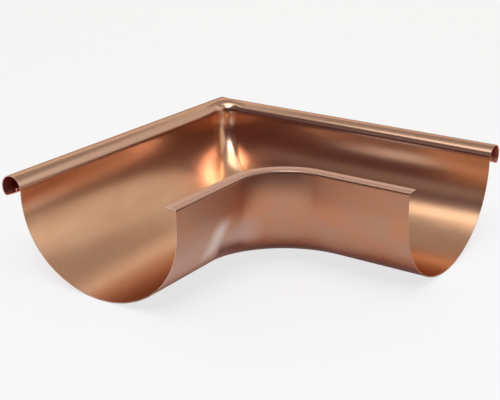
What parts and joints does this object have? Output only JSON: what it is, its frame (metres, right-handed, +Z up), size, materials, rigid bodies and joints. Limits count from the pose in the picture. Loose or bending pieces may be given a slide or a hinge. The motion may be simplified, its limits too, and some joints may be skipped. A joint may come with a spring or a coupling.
{
  "type": "gutter outside miter",
  "caption": "Outside corner for a half-round gutter: a right-angled open channel drawn from copper sheet, with a rolled bead on the outer rim and a folded-in edge on the inner rim.",
  "frame": {"origin": "centre of the bounding box in plan, at the height of the trough's underside (z = 0)", "axes": "+Z up, out of the open trough; the legs run from the corner along +X and -Y; the beaded outer rim faces +Y and -X and the inner rim faces -Y and +X"},
  "size_m": [0.295, 0.295, 0.0902],
  "materials": {
    "copper": "bare copper sheet, satin with faint drawing marks, lightly tarnished"
  },
  "bodies": {
    "root": {"gutter_corner": "copper"}
  },
  "joints": []
}
